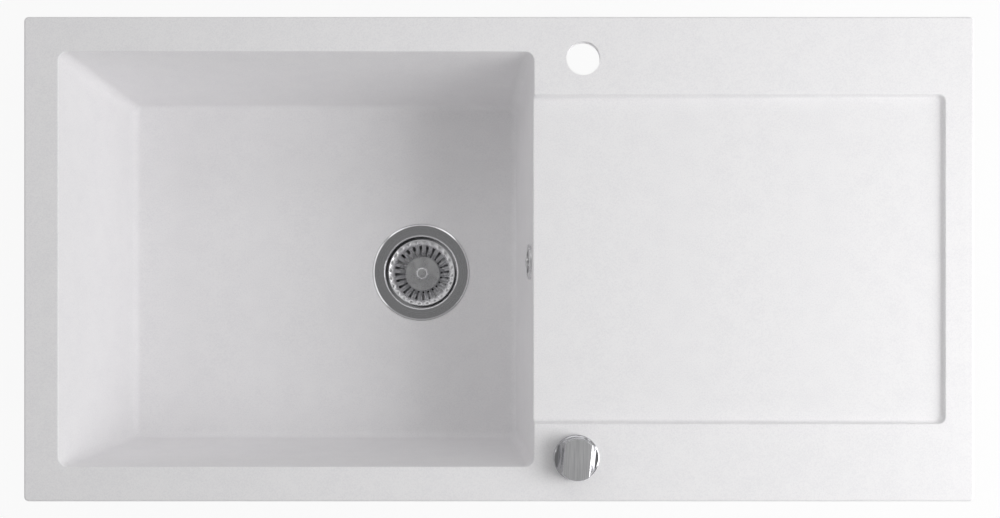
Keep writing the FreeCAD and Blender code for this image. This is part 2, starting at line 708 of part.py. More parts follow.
# basket
basket_top = f"({flange_top} - basket_drop)"
basket_under = f"({basket_top} - basket_depth)"
basket_floor = f"({basket_under} + basket_sheet)"
seal_low = f"({cup_floor} + rest_gap)"
seal_high = f"({seal_low} + seal_ring_thickness)"
plug_top = f"({seal_high} + plug_thickness)"
foot_end = f"({seal_low} - foot_length)"


def strainer_basket():
    slant = "0.6*basket_sheet"
    body = turned("strainer_basket", [
        ("stem_radius", basket_floor),
        ("basket_floor_radius", basket_floor),
        ("basket_shoulder_radius", basket_top),
        ("basket_radius", basket_top),
        ("basket_radius", f"({basket_top} - basket_lip)"),
        ("(basket_radius - basket_sheet)", f"({basket_top} - basket_lip)"),
        ("(basket_radius - basket_sheet)", f"({basket_top} - basket_sheet)"),
        (f"(basket_shoulder_radius + {slant})", f"({basket_top} - basket_sheet)"),
        (f"(basket_floor_radius + {slant})", basket_under),
        ("stem_radius", basket_under),
    ], drain_place)
    round_edges(body, "0.9*basket_sheet", lambda box: (
        level_at(box, basket_top) and outer_circle(box, "basket_radius")))
    slot = sketch_on(body, "slot", "XY_Plane", basket_top)
    box_outline(slot, "(basket_floor_radius + slot_width/2)", "(basket_shoulder_radius - slot_width/2)",
                "-slot_width/2", "slot_width/2")
    repeat_round(body, extrude(body, slot, "basket_depth", "Pocket"), "slot_count")
    return body


def basket_button():
    top = f"({basket_floor} + button_height)"
    body = turned("basket_button", [
        ("0", plug_top),
        ("stem_radius", plug_top),
        ("stem_radius", basket_floor),
        ("neck_radius", basket_floor),
        ("neck_radius", f"({basket_floor} + neck_height)"),
        ("button_radius", f"({basket_floor} + neck_height + button_edge_radius/2)"),
        ("button_radius", top),
        ("0", top),
    ], drain_place)
    round_edges(body, "button_edge_radius", lambda box: level_at(box, top))
    return body


def basket_plug():
    return turned("basket_plug", [
        ("0", foot_end),
        ("plug_hub_radius", foot_end),
        ("plug_hub_radius", seal_high),
        ("plug_radius", seal_high),
        ("plug_radius", plug_top),
        ("plug_hub_radius", plug_top),
        ("plug_hub_radius", basket_under),
        ("stem_radius", basket_under),
        ("stem_radius", plug_top),
        ("0", plug_top),
    ], drain_place)


def plug_seal():
    return turned("plug_seal", ring("plug_hub_radius", "seal_ring_radius", seal_low, seal_high), drain_place)


def pin_seal():
    return turned("pin_seal", ring(pin_bore, "pin_seal_radius", pin_seal_low, guide_top), drain_place)


def lift_pin():
    head_top = f"({foot_end} - rest_gap)"
    head_under = f"({head_top} - pin_head_height)"
    end = f"({socket_end} + rest_gap)"
    return turned("lift_pin", [
        ("0", end),
        ("pin_radius", end),
        ("pin_radius", head_under),
        ("pin_head_radius", head_under),
        ("pin_head_radius", head_top),
        ("0", head_top),
    ], drain_place)


def cable_gland(label, place, turn_angle):
    """The nut that a control cable's sheath ends in, standing on its boss."""
    return turned(label, [
        ("cable_hole_radius", "0"),
        ("gland_radius", "0"),
        ("gland_radius", "gland_length/2"),
        ("gland_nose_radius", "gland_length"),
        ("cable_hole_radius", "gland_length"),
    ], place, (1, 0, 0), turn_angle)


def waste_cable_gland():
    return cable_gland("waste_cable_gland", (drain_x, "0", f"({drain_level} + {socket_end})"), "180")


# overflow, with heights from the bowl's wall outwards and X down the wall
wall_through = f"(bowl_wall*cos({wall_lean}))"
head_start = f"({wall_through} + head_gasket_thickness)"
head_end = f"({head_start} + head_length)"
head_middle = f"({head_start} + head_flange_thickness + (head_length - head_flange_thickness)/2)"


def overflow_turned(label, points):
    return turned(label, points, overflow_place, y_axis, overflow_turn)


def overflow_rosette():
    screw_hole = "(rosette_screw_radius + running_gap)"
    body = overflow_turned("overflow_rosette", ring(screw_hole, "rosette_radius", "-rosette_height", "0"))
    round_edges(body, "rosette_edge_radius", lambda box: (
        level_at(box, "-rosette_height") and outer_circle(box, "rosette_radius")))
    hole = sketch_on(body, "water_hole", "XY_Plane")
    circle(hole, "rosette_hole_circle", "0", "rosette_hole_radius")
    repeat_round(body, extrude(body, hole, "rosette_height", "Pocket"), "rosette_hole_count")
    return body


def overflow_gasket():
    section = ring("overflow_hole_radius", "head_flange_radius", wall_through, head_start)
    return overflow_turned("overflow_gasket", section)


def overflow_screw():
    head_top = "(-rosette_height - rosette_screw_head_height)"
    end = "(rosette_screw_length - rosette_height)"
    return overflow_turned("overflow_screw", [
        ("0", head_top),
        ("rosette_screw_head_radius", head_top),
        ("rosette_screw_head_radius", "-rosette_height"),
        ("rosette_screw_radius", "-rosette_height"),
        ("rosette_screw_radius", end),
        ("0", end),
    ])


def overflow_head():
    body = overflow_turned("overflow_head", [
        ("0", head_start),
        ("head_flange_radius", head_start),
        ("head_flange_radius", f"({head_start} + head_flange_thickness)"),
        ("head_radius", f"({head_start} + head_flange_thickness)"),
        ("head_radius", head_end),
        ("0", head_end),
    ])
    spigot_end = "(head_radius + spigot_length)"
    spigot = sketch_on(body, "spigot", "YZ_Plane")
    circle(spigot, "0", head_middle, "branch_radius")
    extrude(body, spigot, spigot_end)
    chamber = sketch_on(body, "head_chamber", "XY_Plane", head_start)
    circle(chamber, "0", "0", "(head_radius - head_wall)")
    extrude(body, chamber, "(head_length - head_wall)", "Pocket", reverse=True)
    way = sketch_on(body, "spigot_way", "YZ_Plane")
    circle(way, "0", head_middle, "branch_bore")
    extrude(body, way, f"2*{spigot_end}", "Pocket", reverse=True)
    boss = sketch_on(body, "screw_boss", "XY_Plane", head_start)
    circle(boss, "0", "0", "rosette_boss_radius")
    extrude(body, boss, "head_length")
    thread = sketch_on(body, "screw_boss_hole", "XY_Plane", head_start)
    circle(thread, "0", "0", "rosette_screw_radius")
    extrude(body, thread, "rosette_screw_length", "Pocket", reverse=True)
    return body


# overflow pipe, in the upright plane through the overflow and the drain
pipe_inside = "(branch_radius + running_gap)"
pipe_outside = f"({pipe_inside} + pipe_wall)"
pipe_low_x = f"({drain_x} + {body_outside} + loose_gap)"
pipe_low_z = f"({drain_level} + {branch_z})"
pipe_high_down = "(head_flange_radius + loose_gap)"
pipe_high_x = f"({overflow_x} - {pipe_high_down}*sin({wall_lean}) + {head_middle}*cos({wall_lean}))"
pipe_high_z = f"({overflow_z} - {pipe_high_down}*cos({wall_lean}) - {head_middle}*sin({wall_lean}))"
pipe_corner_x = f"({pipe_high_x} - ({pipe_high_z} - {pipe_low_z})*tan({wall_lean}))"
pipe_bend_x = f"({pipe_corner_x} - pipe_bend_radius*tan((90 deg - {wall_lean})/2))"


def pipe_route(body):
    """The pipe's middle line: level from the waste, round the elbow and up along the bowl's wall."""
    sketch = sketch_on(body, "pipe_route", "XZ_Plane")
    low = FreeCAD.Vector(number(pipe_low_x), number(pipe_low_z), 0)
    bend = FreeCAD.Vector(number(pipe_bend_x), number(pipe_low_z), 0)
    high = FreeCAD.Vector(number(pipe_high_x), number(pipe_high_z), 0)
    radius = number("pipe_bend_radius")
    lean = math.radians(number(wall_lean))
    middle = bend + FreeCAD.Vector(0, radius, 0)
    elbow = Part.ArcOfCircle(Part.Circle(middle, FreeCAD.Vector(0, 0, 1), radius), -math.pi / 2, -lean)
    sketch.addGeometry([Part.LineSegment(low, bend), elbow, Part.LineSegment(elbow.EndPoint, high)], False)
    sketch.addConstraint(Sketcher.Constraint("Tangent", 0, 2, 1, 1))
    sketch.addConstraint(Sketcher.Constraint("Tangent", 1, 2, 2, 1))
    for side, point, x, z in ((0, 1, pipe_low_x, pipe_low_z), (0, 2, pipe_bend_x, pipe_low_z),
                              (2, 2, pipe_high_x, pipe_high_z)):
        dimension(sketch, "DistanceX", side, point, x)
        dimension(sketch, "DistanceY", side, point, z)
    dimension(sketch, "Radius", 1, 0, "pipe_bend_radius")
    return sketch


def overflow_pipe():
    body = new_body("overflow_pipe", ("0", "0", "0"))
    route = pipe_route(body)
    for name, radius, kind in (("pipe_outside", pipe_outside, "AdditivePipe"),
                               ("pipe_inside", pipe_inside, "SubtractivePipe")):
        section = sketch_on(body, name, "YZ_Plane", pipe_low_x)
        circle(section, "0", pipe_low_z, radius)
        sweep = body.newObject(f"PartDesign::{kind}", f"{name}_sweep")
        sweep.Profile = section
        sweep.Spine = route
        doc.recompute()
    return body


def pipe_bands():
    """The two bands that clamp the pipe to its spigots."""
    band_outside = f"({pipe_outside} + band_thickness)"
    section = ring(pipe_outside, band_outside, "band_inset", "(band_inset + band_width)")
    low = turned("low_band", section, (pipe_low_x, "0", pipe_low_z), y_axis, "90")
    high = turned("high_band", section, (pipe_high_x, "0", pipe_high_z), y_axis, f"180 deg + {wall_lean}")
    return group("pipe_bands", [low, high])


# knob, with heights from the rim's top
flange_high = "(ring_seal_thickness + housing_flange_thickness)"
washer_under = "(-rim_height - washer_thickness)"
nut_under = f"({washer_under} - nut_height)"
housing_end = f"({nut_under} - housing_tail)"
spindle_bore = "(spindle_radius + running_gap)"
spindle_seal_low = f"({flange_high} - spindle_seal_height)"
grip_base = "(ring_height + rest_gap)"
grip_top = f"({grip_base} + grip_height)"
spindle_top = f"({grip_base} + spindle_grip_length)"
box_ceiling = f"({housing_end} - box_roof)"
crank_top = f"({box_ceiling} - rest_gap)"
crank_under = f"({crank_top} - crank_thickness)"
slider_top = f"({crank_under} - rest_gap)"
slider_under = f"({slider_top} - slider_thickness)"
box_under = f"({slider_under} - rest_gap)"
crank_arm = "(lift_travel/(2*sin(knob_swing/2)))"
slot_reach = "(crank_pin_radius + slider_slot_gap)"
slot_end = f"({crank_arm} + {slot_reach})"
slider_tip = f"({slot_end} + slider_end)"
box_half = "(crank_radius + box_clearance)"
box_far = f"({slider_tip} + box_clearance)"
box_side = f"({box_half} + box_wall)"
rod_x = f"({crank_arm} - crank_pin_radius)"
rod_z = f"(({slider_top} + {slider_under})/2)"
sleeve_length = "(rod_reach + lift_travel + rod_reach)"
z_axis = (0, 0, 1)


def knob_housing():
    return turned("knob_housing", [
        (spindle_bore, housing_end),
        ("housing_radius", housing_end),
        ("housing_radius", "ring_seal_thickness"),
        ("housing_flange_radius", "ring_seal_thickness"),
        ("housing_flange_radius", flange_high),
        ("spindle_seal_radius", flange_high),
        ("spindle_seal_radius", spindle_seal_low),
        (spindle_bore, spindle_seal_low),
    ], knob_place)


def cover_ring():
    hole = "(spindle_radius + loose_gap)"
    body = turned("cover_ring", [
        (hole, flange_high),
        ("housing_flange_radius", flange_high),
        ("housing_flange_radius", "0"),
        ("ring_radius", "0"),
        ("ring_radius", "ring_height"),
        (hole, "ring_height"),
    ], knob_place)
    round_edges(body, "ring_edge_radius", lambda box: (
        level_at(box, "ring_height") and outer_circle(box, "ring_radius")))
    return body


def ring_seal():
    section = ring("knob_hole_radius", "housing_flange_radius", "0", "ring_seal_thickness")
    return turned("ring_seal", section, knob_place)


def spindle_seal():
    section = ring(spindle_bore, "spindle_seal_radius", spindle_seal_low, flange_high)
    return turned("spindle_seal", section, knob_place)


def deck_washer():
    section = ring("knob_hole_radius", "washer_radius", washer_under, "-rim_height")
    return turned("deck_washer", section, knob_place)


def back_nut():
    body = new_body("back_nut", knob_place)
    sketch = sketch_on(body, "nut_outline", "XY_Plane", nut_under)
    outline(sketch, [(f"nut_radius*cos({60 * side})", f"nut_radius*sin({60 * side})") for side in range(6)])
    circle(sketch, "0", "0", "housing_radius")
    extrude(body, sketch, "nut_height")
    return body


def knob_spindle():
    body = turned("knob_spindle", [
        ("0", crank_under),
        ("crank_radius", crank_under),
        ("crank_radius", crank_top),
        ("spindle_radius", crank_top),
        ("spindle_radius", spindle_top),
        ("0", spindle_top),
    ], knob_place)
    pin = sketch_on(body, "crank_pin", "XY_Plane", crank_under)
    circle(pin, f"({crank_arm}*cos(knob_swing/2))", f"(-{crank_arm}*sin(knob_swing/2))", "crank_pin_radius")
    extrude(body, pin, "(rest_gap + slider_thickness)", reverse=True)
    return body


def knob_grip():
    ledge = f"({grip_base} + grip_ledge_height)"
    body = turned("knob_grip", [
        ("spindle_radius", grip_base),
        ("grip_radius", grip_base),
        ("grip_radius", f"({ledge} - grip_bevel_drop)"),
        ("(grip_radius - grip_bevel_width)", ledge),
        ("grip_top_radius", grip_top),
        ("0", grip_top),
        ("0", spindle_top),
        ("spindle_radius", spindle_top),
    ], knob_place, z_axis, "-grip_turn")
    flanks = sketch_on(body, "grip_flanks", "XZ_Plane")
    for side in ("", "-"):
        outline(flanks, [
            (f"{side}(grip_bar_width/2 + grip_bar_flare)", ledge),
            (f"{side}2*grip_radius", ledge),
            (f"{side}2*grip_radius", grip_top),
            (f"{side}grip_bar_width/2", grip_top),
            (f"{side}(grip_bar_width/2 + grip_waist_flare)", f"({ledge} + grip_waist_height)"),
        ])
    extrude(body, flanks, "2*grip_radius", "Pocket", both_ways=True)
    round_edges(body, "grip_edge_radius", lambda box: level_at(box, grip_top))
    thread = sketch_on(body, "grub_hole", "XZ_Plane")
    circle(thread, "0", f"({grip_base} + grub_height)", "grub_radius")
    extrude(body, thread, "2*grip_radius", "Pocket")
    return body


def grub_screw():
    body = new_body("grub_screw", knob_place, z_axis, "-grip_turn")
    sketch = sketch_on(body, "grub_end", "XZ_Plane", "-spindle_radius")
    circle(sketch, "0", f"({grip_base} + grub_height)", "grub_radius")
    extrude(body, sketch, "grub_length", reverse=True)
    return body


def box_corners():
    """Where the drive box's four screws stand, in its corners."""
    for x in (f"(-{box_half} - box_wall/2)", f"({box_far} + box_wall/2)"):
        for y in (f"(-{box_half} - box_wall/2)", f"({box_half} + box_wall/2)"):
            yield x, y


def drive_box():
    body = new_body("drive_box", knob_place)
    block = sketch_on(body, "box_block", "XY_Plane", box_under)
    box_outline(block, f"(-{box_side})", f"({box_far} + box_wall)", f"(-{box_side})", box_side)
    extrude(body, block, f"{housing_end} - {box_under}")
    inside = sketch_on(body, "box_inside", "XY_Plane", box_under)
    box_outline(inside, f"(-{box_half})", box_far, f"(-{box_half})", box_half)
    extrude(body, inside, f"{box_ceiling} - {box_under}", "Pocket", reverse=True)
    spindle_way = sketch_on(body, "spindle_way", "XY_Plane", housing_end)
    circle(spindle_way, "0", "0", spindle_bore)
    extrude(body, spindle_way, "2*box_roof", "Pocket")
    sleeve = sketch_on(body, "sleeve", "XZ_Plane", minus(box_side))
    circle(sleeve, rod_x, rod_z, "sleeve_radius")
    extrude(body, sleeve, sleeve_length, reverse=True)
    rod_way = sketch_on(body, "rod_way", "XZ_Plane", minus(box_half))
    circle(rod_way, rod_x, rod_z, "(slider_rod_radius + running_gap)")
    extrude(body, rod_way, f"(box_wall + {sleeve_length})", "Pocket")
    threads = sketch_on(body, "box_threads", "XY_Plane", box_under)
    for x, y in box_corners():
        circle(threads, x, y, "box_screw_radius")
    extrude(body, threads, "(box_screw_length - cover_thickness)", "Pocket", reverse=True)
    return body


def box_cover():
    body = new_body("box_cover", knob_place)
    plate = sketch_on(body, "cover_plate", "XY_Plane", box_under)
    box_outline(plate, f"(-{box_side})", f"({box_far} + box_wall)", f"(-{box_side})", box_side)
    for x, y in box_corners():
        circle(plate, x, y, "(box_screw_radius + running_gap)")
    extrude(body, plate, "cover_thickness", reverse=True)
    return body


def box_screws():
    screws = []
    for number_of, (x, y) in enumerate(box_corners(), start=1):
        place = (f"({knob_x} + {x})", f"({knob_y} + {y})", f"(rim_height + {box_under} - cover_thickness)")
        screws.append(screw(f"box_screw_{number_of}", place, "box_screw_radius", "box_screw_head_radius",
                            "box_screw_head_height", "box_screw_length", (1, 0, 0), "180"))
    return group("box_screws", screws)


def cable_slider():
    body = new_body("cable_slider", knob_place)
    middle = "(-lift_travel/2)"
    plate = sketch_on(body, "slider_plate", "XY_Plane", slider_under)
    box_outline(plate, "(-slider_half_width)", slider_tip, f"({middle} - slider_half_width)",
                f"({middle} + slider_half_width)")
    slot_start = f"({crank_arm}*cos(knob_swing/2) - {slot_reach})"
    box_outline(plate, slot_start, slot_end, f"({middle} - {slot_reach})", f"({middle} + {slot_reach})")
    extrude(body, plate, "slider_thickness")
    rod = sketch_on(body, "slider_rod", "XZ_Plane", f"-({middle} + slider_half_width)")
    circle(rod, rod_x, rod_z, "slider_rod_radius")
    extrude(body, rod, f"({box_side} + rod_reach - {middle} - slider_half_width)", reverse=True)
    return body


def knob_cable_gland():
    place = (f"({knob_x} + {rod_x})", f"({knob_y} + {box_side} + {sleeve_length})", f"(rim_height + {rod_z})")
    return cable_gland("knob_cable_gland", place, "-90")


pieces = [
    sink_basin(),
    rim_seal(),
    strainer_flange(),
    flange_gasket(),
    waste_body(),
    body_gasket(),
    flange_screws(),
    strainer_basket(),
    basket_button(),
    basket_plug(),
    plug_seal(),
    lift_pin(),
    pin_seal(),
    waste_cable_gland(),
    overflow_rosette(),
    overflow_gasket(),
    overflow_head(),
    overflow_screw(),
    overflow_pipe(),
    pipe_bands(),
    cover_ring(),
    ring_seal(),
    knob_housing(),
    spindle_seal(),
    deck_washer(),
    back_nut(),
    knob_spindle(),
    knob_grip(),
    grub_screw(),
    drive_box(),
    box_cover(),
    box_screws(),
    cable_slider(),
    knob_cable_gland(),
]
doc.recompute()

failed = [item.Name for item in doc.Objects if "Invalid" in item.State or "Error" in item.State]
if failed:
    raise RuntimeError(f"these did not build: {failed}")
for piece in pieces:
    if piece.Shape.isNull() or not piece.Shape.isValid():
        raise RuntimeError(f"{piece.Label} has no sound shape")

os.makedirs("parts", exist_ok=True)
for piece in pieces:
    piece.Shape.exportStep(f"parts/{piece.Label}.step")
    print(piece.Label, len(piece.Shape.Solids), round(piece.Shape.Volume, 1))
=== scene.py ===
import math

import bmesh
import bpy
from mathutils import Matrix, Vector


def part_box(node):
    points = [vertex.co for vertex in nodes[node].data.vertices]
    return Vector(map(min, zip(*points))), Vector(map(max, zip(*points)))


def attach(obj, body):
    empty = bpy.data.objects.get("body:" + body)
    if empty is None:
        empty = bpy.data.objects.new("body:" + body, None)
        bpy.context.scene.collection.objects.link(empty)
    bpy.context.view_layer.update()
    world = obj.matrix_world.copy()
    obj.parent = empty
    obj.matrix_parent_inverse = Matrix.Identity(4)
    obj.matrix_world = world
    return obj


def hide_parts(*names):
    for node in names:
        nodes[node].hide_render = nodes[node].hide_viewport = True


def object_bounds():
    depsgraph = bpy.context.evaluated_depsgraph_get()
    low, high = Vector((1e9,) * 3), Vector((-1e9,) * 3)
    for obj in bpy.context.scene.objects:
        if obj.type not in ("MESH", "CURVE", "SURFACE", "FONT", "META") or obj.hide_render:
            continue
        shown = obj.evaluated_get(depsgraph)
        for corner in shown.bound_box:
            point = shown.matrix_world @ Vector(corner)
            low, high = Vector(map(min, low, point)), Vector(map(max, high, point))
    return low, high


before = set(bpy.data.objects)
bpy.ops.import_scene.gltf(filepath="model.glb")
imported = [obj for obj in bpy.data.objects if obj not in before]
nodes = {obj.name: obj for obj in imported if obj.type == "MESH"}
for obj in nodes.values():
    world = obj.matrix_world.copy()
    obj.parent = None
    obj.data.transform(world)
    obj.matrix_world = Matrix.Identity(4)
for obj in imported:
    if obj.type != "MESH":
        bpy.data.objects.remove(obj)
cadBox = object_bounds()
scene = bpy.context.scene
mm = 0.001
fullTurn = 2 * math.pi
print("frame loaded,", len(nodes), "nodes")


def middleOf(name):
    low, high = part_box(name)
    return (low + high) / 2


drainAxis = middleOf("strainer_flange")
knobAxis = middleOf("cover_ring")


# small tools

def linear(hexText):
    # sRGB hex to the linear colour that shaders take
    parts = [int(hexText[i:i + 2], 16) / 255 for i in (1, 3, 5)]
    return [p / 12.92 if p <= 0.04045 else ((p + 0.055) / 1.055) ** 2.4 for p in parts] + [1.0]


def addNode(tree, kind, inputs=None, **settings):
    node = tree.nodes.new(kind)
    for name, value in settings.items():
        setattr(node, name, value)
    for socket, value in (inputs or {}).items():
        if isinstance(value, bpy.types.NodeSocket):
            tree.links.new(value, node.inputs[socket])
        else:
            node.inputs[socket].default_value = value
    return node


def newMaterial(name):
    material = bpy.data.materials.new(name)
    material.use_nodes = True
    tree = material.node_tree
    return material, tree, tree.nodes["Principled BSDF"]


def setStops(node, positions, colours):
    # colour ramp stops, each colour as hex or as a grey
    ramp = node.color_ramp
    for element, position, colour in zip(ramp.elements, positions, colours):
        element.position = position
        element.color = linear(colour) if isinstance(colour, str) else [colour] * 3 + [1.0]


def dress(name, material):
    slots = nodes[name].data.materials
    slots.clear()
    slots.append(material)


# camera: straight above, a little towards the knob's edge, framed with lens shift
view = {
    "frameWidth": 1.0305,         # what the image spans at the rim's top, metres
    "imageMiddle": (0.0011, 0.0),
    "foot": (0.0011, -0.094),
    "distance": 1.19,             # from the rim's top
    "rimTop": 0.009,
    "sensor": 36,
    "farthest": 50,
}


def setCamera():
    data = bpy.data.cameras.new("camera")
    camera = bpy.data.objects.new("camera", data)
    scene.collection.objects.link(camera)
    camera.location = (*view["foot"], view["rimTop"] + view["distance"])
    data.sensor_width = view["sensor"]
    data.lens = view["sensor"] * view["distance"] / view["frameWidth"]
    data.shift_x, data.shift_y = [(middle - foot) / view["frameWidth"]
                                  for middle, foot in zip(view["imageMiddle"], view["foot"])]
    data.clip_end = view["farthest"]
    scene.camera = camera
    print("camera lens", round(data.lens, 1))


setCamera()

# light: one big soft box on the drainer's side, three strips overhead that draw the bright lines on the
# steel, and a pale room with a dark ceiling over the camera
light = {
    "aim": (0.0, 0.0, -0.05),
    "lamps": {
        "soft_box": {"place": (1.55, -0.25, 1.05), "size": (1.1, 1.5), "power": 20.8},
        "strip_left": {"place": (-1.2, 0.05, 1.3), "size": (1.6, 0.4), "power": 1.2},
        "strip_right": {"place": (0.85, 0.05, 1.3), "size": (1.4, 0.3), "power": 1.5},
        "strip_back": {"place": (-0.1, 1.05, 1.3), "size": (1.8, 0.4), "power": 1.8},
    },
    "room": (0.45, 0.225),        # grey of the walls and of the ceiling
    "ceiling": (0.78, 0.95),      # heights on the unit sphere where the walls end and the ceiling starts
}


def setLights():
    for name, settings in light["lamps"].items():
        lamp = bpy.data.lights.new(name, "AREA")
        lamp.shape = "RECTANGLE"
        lamp.size, lamp.size_y = settings["size"]
        lamp.energy = settings["power"]
        box = bpy.data.objects.new(name, lamp)
        scene.collection.objects.link(box)
        box.location = settings["place"]
        aim = Vector(light["aim"]) - Vector(settings["place"])
        box.rotation_euler = aim.to_track_quat("-Z", "Y").to_euler()

    world = bpy.data.worlds.new("room")
    scene.world = world
    world.use_nodes = True
    tree = world.node_tree
    direction = addNode(tree, "ShaderNodeTexCoord").outputs["Generated"]
    height = addNode(tree, "ShaderNodeSeparateXYZ", {0: direction}).outputs["Z"]
    fade = addNode(tree, "ShaderNodeValToRGB", {0: height})
    setStops(fade, light["ceiling"], light["room"])
    tree.links.new(fade.outputs["Color"], tree.nodes["Background"].inputs["Color"])


setLights()

# pale floor: shows almost white, and still takes the sink's shadow
pale = {
    "colour": "#F4F4F4",
    "roughness": 0.8,
    "white": "#FFFFFF",
    "whiteShare": 0.9,            # how much of what is seen or mirrored is plain white
    "radius": 40,                 # wide and round, so that its edge lies on the horizon
    "sides": 128,
    "below": 0.02,                # under the waste, metres
}


def makeFloor():
    material, tree, shader = newMaterial("pale floor")
    shader.inputs["Base Color"].default_value = linear(pale["colour"])
    shader.inputs["Roughness"].default_value = pale["roughness"]
    ray = addNode(tree, "ShaderNodeLightPath").outputs
    seen = ray["Is Camera Ray"]
    for kind in ("Is Glossy Ray", "Is Transmission Ray"):
        seen = addNode(tree, "ShaderNodeMath", {0: seen, 1: ray[kind]}, operation="MAXIMUM").outputs[0]
    share = addNode(tree, "ShaderNodeMath", {0: seen, 1: pale["whiteShare"]}, operation="MULTIPLY")
    white = addNode(tree, "ShaderNodeEmission", {"Color": linear(pale["white"]), "Strength": 1.0})
    mix = addNode(tree, "ShaderNodeMixShader",
                  {0: share.outputs[0], 1: shader.outputs[0], 2: white.outputs[0]})
    tree.links.new(mix.outputs[0], tree.nodes["Material Output"].inputs["Surface"])

    mesh = bpy.data.meshes.new("floor")
    shape = bmesh.new()
    bmesh.ops.create_circle(shape, cap_ends=True, segments=pale["sides"], radius=pale["radius"])
    bmesh.ops.translate(shape, verts=shape.verts, vec=(0, 0, cadBox[0][2] - pale["below"]))
    shape.to_mesh(mesh)
    shape.free()
    mesh.materials.append(material)
    floor = bpy.data.objects.new("floor", mesh)
    scene.collection.objects.link(floor)


makeFloor()
print("camera, light and floor set")


# quartz-filled acrylic, cast in a mould: matt white with a fine, soft grain and no gloss spots
granite = {
    "colours": ("#F0EFF1", "#F7F6F7"),
    "colourStops": (0.36, 0.58),
    "grain": "#E3E2E5",
    "grainSize": 1.4 * mm,        # the quartz is 0.3 to 0.7 mm, drawn coarser so that it shows
    "speckSize": 2.0 * mm,
    "speckShares": (0.5, 0.0),    # grain colour in the middle of a speck and outside it
    "speckStops": (0.06, 0.2),
    "cloudSize": 22 * mm,
    "cloudShare": 0.25,
    "roughness": (0.49, 0.63),
    "bump": 0.25,
    "bumpHeight": 0.06 * mm,
}


def quartzComposite():
    material, tree, shader = newMaterial("quartz composite, moulded")
    place = addNode(tree, "ShaderNodeTexCoord").outputs["Object"]
    cloud = addNode(tree, "ShaderNodeTexNoise",
                    {"Vector": place, "Scale": 1 / granite["cloudSize"], "Detail": 3})
    fine = addNode(tree, "ShaderNodeTexNoise",
                   {"Vector": place, "Scale": 1 / granite["grainSize"], "Detail": 2})
    tone = addNode(tree, "ShaderNodeMix", {0: granite["cloudShare"], 2: fine.outputs[0], 3: cloud.outputs[0]})
    base = addNode(tree, "ShaderNodeValToRGB", {0: tone.outputs[0]})
    setStops(base, granite["colourStops"], granite["colours"])
    cells = addNode(tree, "ShaderNodeTexVoronoi", {"Vector": place, "Scale": 1 / granite["speckSize"]})
    speck = addNode(tree, "ShaderNodeValToRGB", {0: cells.outputs["Distance"]})
    setStops(speck, granite["speckStops"], granite["speckShares"])
    colour = addNode(tree, "ShaderNodeMix",
                     {0: speck.outputs[0], 6: base.outputs[0], 7: linear(granite["grain"])}, data_type="RGBA")
    tree.links.new(colour.outputs[2], shader.inputs["Base Color"])
    smooth, rough = granite["roughness"]
    gloss = addNode(tree, "ShaderNodeMapRange", {0: fine.outputs[0], 3: smooth, 4: rough})
    tree.links.new(gloss.outputs[0], shader.inputs["Roughness"])
    bump = addNode(tree, "ShaderNodeBump", {"Height": fine.outputs[0], "Strength": granite["bump"],
                                            "Distance": granite["bumpHeight"]})
    tree.links.new(bump.outputs[0], shader.inputs["Normal"])
    return material


# stainless steel, pressed and satin-ground on a lathe: grey, with fine rings and a polished rolled edge
ringSteel = {
    "colours": ("#C6C6C8", "#D6D6D8"),
    "colourStops": (0.3, 0.7),
    "roughness": (0.15, 0.27),
    "edge": "#E6E6E8",
    "edgeRoughness": 0.12,
    "ringWidth": 0.7 * mm,
    "groundFrom": 45.4 * mm,      # radii between which the face is ground
    "groundTo": 56.2 * mm,
    "bump": 0.15,
    "bumpHeight": 0.02 * mm,
}


def lathedSteel():
    material, tree, shader = newMaterial("stainless steel, lathe-ground")
    shader.inputs["Metallic"].default_value = 1
    place = addNode(tree, "ShaderNodeTexCoord").outputs["Object"]
    moved = addNode(tree, "ShaderNodeMapping",
                    {"Vector": place, "Location": (-drainAxis.x, -drainAxis.y, 0)})
    flat = addNode(tree, "ShaderNodeVectorMath", {0: moved.outputs[0], 1: (1, 1, 0)}, operation="MULTIPLY")
    radius = addNode(tree, "ShaderNodeVectorMath", {0: flat.outputs[0]}, operation="LENGTH").outputs["Value"]
    rings = addNode(tree, "ShaderNodeTexNoise",
                    {"W": radius, "Scale": 1 / ringSteel["ringWidth"], "Detail": 2}, noise_dimensions="1D")
    outside = addNode(tree, "ShaderNodeMath", {0: radius, 1: ringSteel["groundTo"]}, operation="GREATER_THAN")
    inside = addNode(tree, "ShaderNodeMath", {0: radius, 1: ringSteel["groundFrom"]}, operation="LESS_THAN")
    edge = addNode(tree, "ShaderNodeMath", {0: outside.outputs[0], 1: inside.outputs[0]}, operation="MAXIMUM")
    tint = addNode(tree, "ShaderNodeValToRGB", {0: rings.outputs[0]})
    setStops(tint, ringSteel["colourStops"], ringSteel["colours"])
    colour = addNode(tree, "ShaderNodeMix",
                     {0: edge.outputs[0], 6: tint.outputs[0], 7: linear(ringSteel["edge"])}, data_type="RGBA")
    tree.links.new(colour.outputs[2], shader.inputs["Base Color"])
    smooth, rough = ringSteel["roughness"]
    ground = addNode(tree, "ShaderNodeMapRange", {0: rings.outputs[0], 3: smooth, 4: rough})
    gloss = addNode(tree, "ShaderNodeMix",
                    {0: edge.outputs[0], 2: ground.outputs[0], 3: ringSteel["edgeRoughness"]})
    tree.links.new(gloss.outputs[0], shader.inputs["Roughness"])
    bump = addNode(tree, "ShaderNodeBump", {"Height": rings.outputs[0], "Strength": ringSteel["bump"],
                                            "Distance": ringSteel["bumpHeight"]})
    tree.links.new(bump.outputs[0], shader.inputs["Normal"])
    return material


